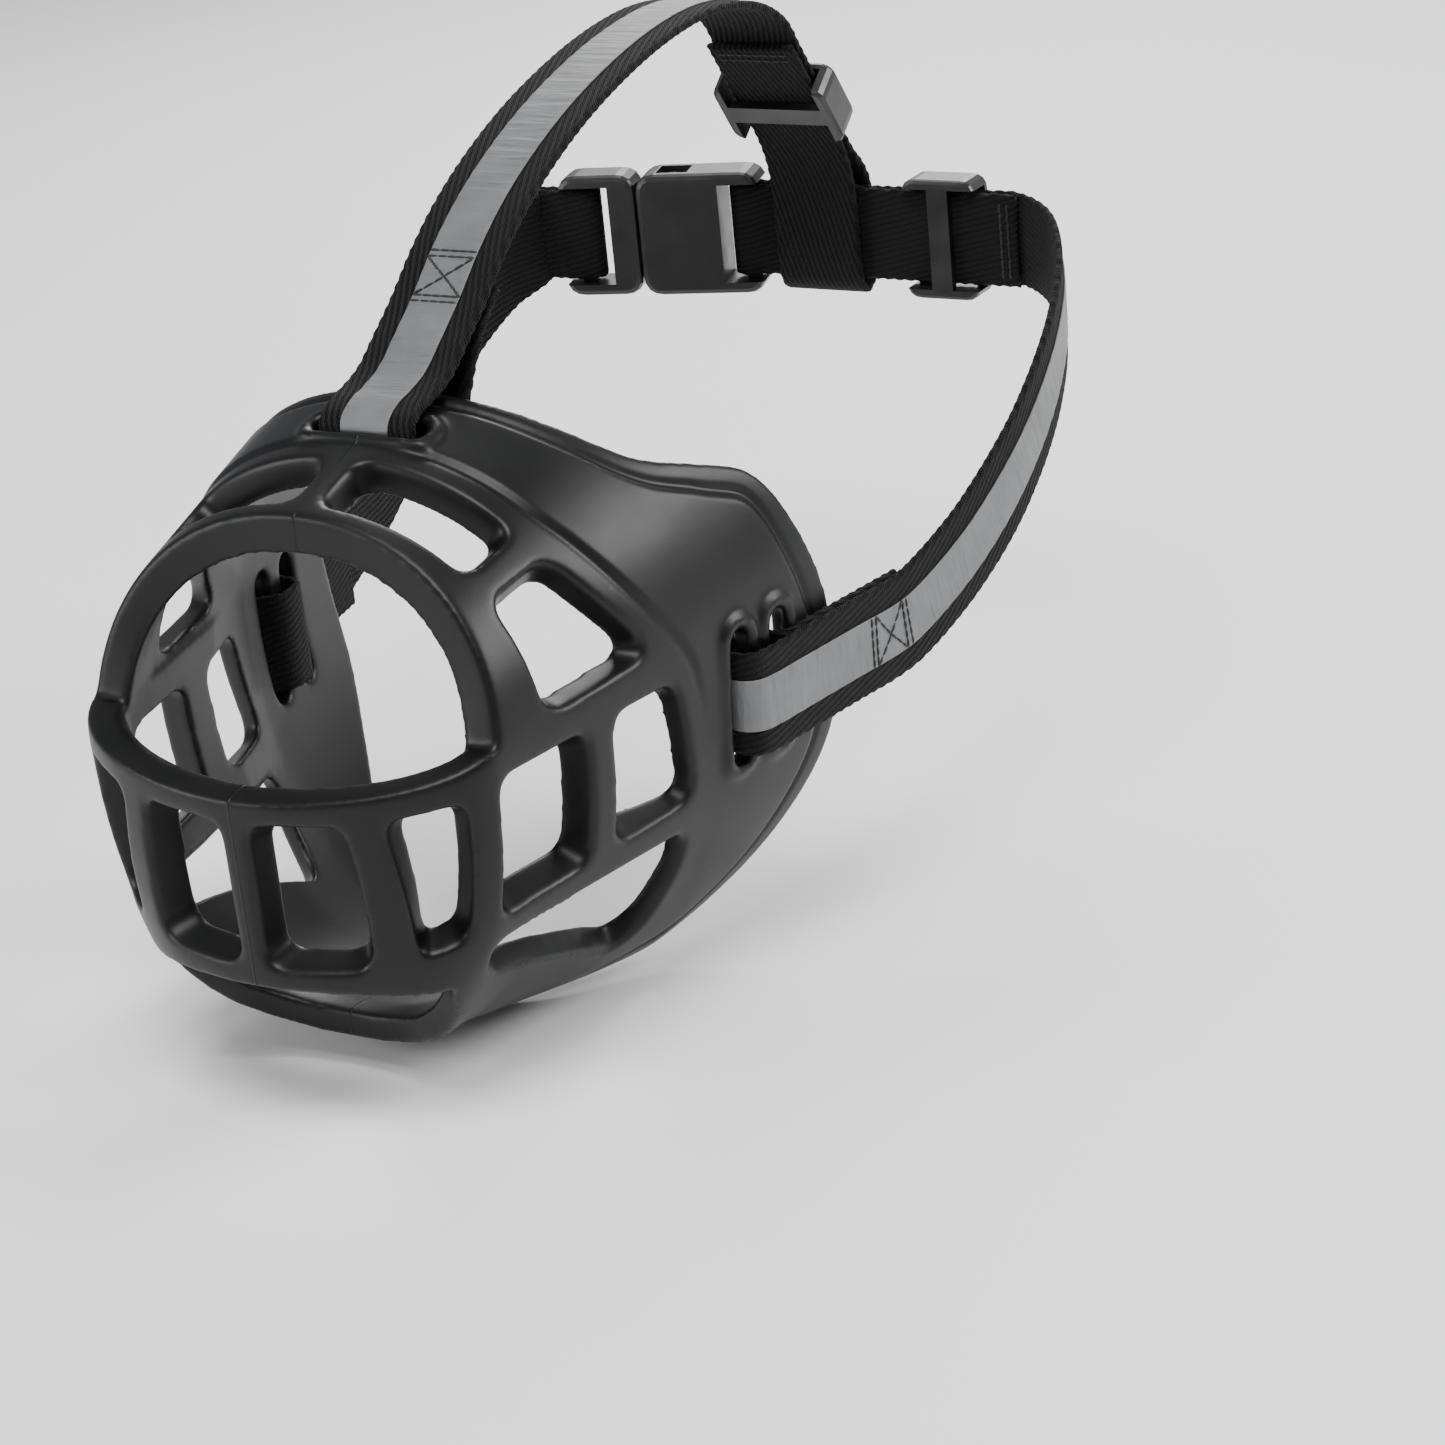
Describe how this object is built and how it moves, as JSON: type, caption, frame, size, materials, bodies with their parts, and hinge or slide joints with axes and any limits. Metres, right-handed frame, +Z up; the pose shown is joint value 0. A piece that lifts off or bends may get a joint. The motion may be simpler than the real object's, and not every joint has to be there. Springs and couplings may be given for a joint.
{
  "type": "basket muzzle",
  "caption": "Soft rubber basket muzzle with an open nose ring, barred windows, a cuff with strap slots, webbing head and neck straps, sliders and a side release buckle.",
  "frame": {"origin": "foremost, lowest point of the nose ring's lip, in the basket's middle plane", "axes": "+Z up, the nose end faces -Y, the dog's left side is +X"},
  "size_m": [0.1459, 0.2358, 0.1603],
  "materials": {
    "basket_rubber": "satin, softly rounded",
    "strap_webbing": "woven twill",
    "reflective_tape": "matt, granular",
    "buckle_plastic": "fine moulded grain"
  },
  "bodies": {
    "muzzle": {"nose_lip": "basket_rubber", "nose_arch": "basket_rubber", "front_bar_centre": "basket_rubber", "front_corner_bar_left": "basket_rubber", "front_corner_bar_right": "basket_rubber", "side_bar_front_left": "basket_rubber", "side_bar_front_right": "basket_rubber", "side_bar_rear_left": "basket_rubber", "side_bar_rear_right": "basket_rubber", "bottom_band_front": "basket_rubber", "side_rail_left": "basket_rubber", "side_rail_right": "basket_rubber", "bottom_rail_left": "basket_rubber", "bottom_rail_right": "basket_rubber", "top_centre_bar": "basket_rubber", "top_side_bar_left": "basket_rubber", "top_side_bar_right": "basket_rubber", "cuff_top": "basket_rubber", "cuff_side_left": "basket_rubber", "cuff_side_right": "basket_rubber", "chin_cup": "basket_rubber", "jaw_strip_left": "basket_rubber", "jaw_strip_right": "basket_rubber", "head_strap_webbing": "strap_webbing", "neck_webbing_left": "strap_webbing", "neck_webbing_right": "strap_webbing", "head_strap_tape": "reflective_tape", "neck_tape_left": "reflective_tape", "neck_tape_right": "reflective_tape", "buckle_socket": "buckle_plastic"},
    "plug": {"buckle_plug": "buckle_plastic", "neck_webbing_right_rear": "strap_webbing", "neck_tape_right_rear": "reflective_tape"},
    "upper_prong": {"prong_upper": "buckle_plastic"},
    "lower_prong": {"prong_lower": "buckle_plastic"},
    "neck_adjuster": {"neck_slider": "buckle_plastic"},
    "head_adjuster": {"head_slider": "buckle_plastic"}
  },
  "joints": [
    {"name": "buckle_release", "type": "slide", "parent": "muzzle", "child": "plug", "axis": [-0.9659, -0.2588, 0], "range_m": [0, 0.03], "deforming": ["prong_upper", "prong_lower"]},
    {"name": "upper_prong_squeeze", "type": "hinge", "parent": "plug", "child": "upper_prong", "pos_m": [-0.04066, 0.22386, 0.0416], "axis": [-0.2588, 0.9659, 0], "range_deg": [0, 10], "stiffness_Nm_per_rad": 0.25},
    {"name": "lower_prong_squeeze", "type": "hinge", "parent": "plug", "child": "lower_prong", "pos_m": [-0.04066, 0.22386, 0.0264], "axis": [0.2588, -0.9659, 0], "range_deg": [0, 10], "stiffness_Nm_per_rad": 0.25},
    {"name": "neck_adjuster_slide", "type": "slide", "parent": "muzzle", "child": "neck_adjuster", "axis": [1, 0, 0], "range_m": [-0.006, 0.006]},
    {"name": "head_adjuster_slide", "type": "slide", "parent": "muzzle", "child": "head_adjuster", "axis": [0, 0.6, -0.8], "range_m": [-0.007, 0.002]}
  ]
}
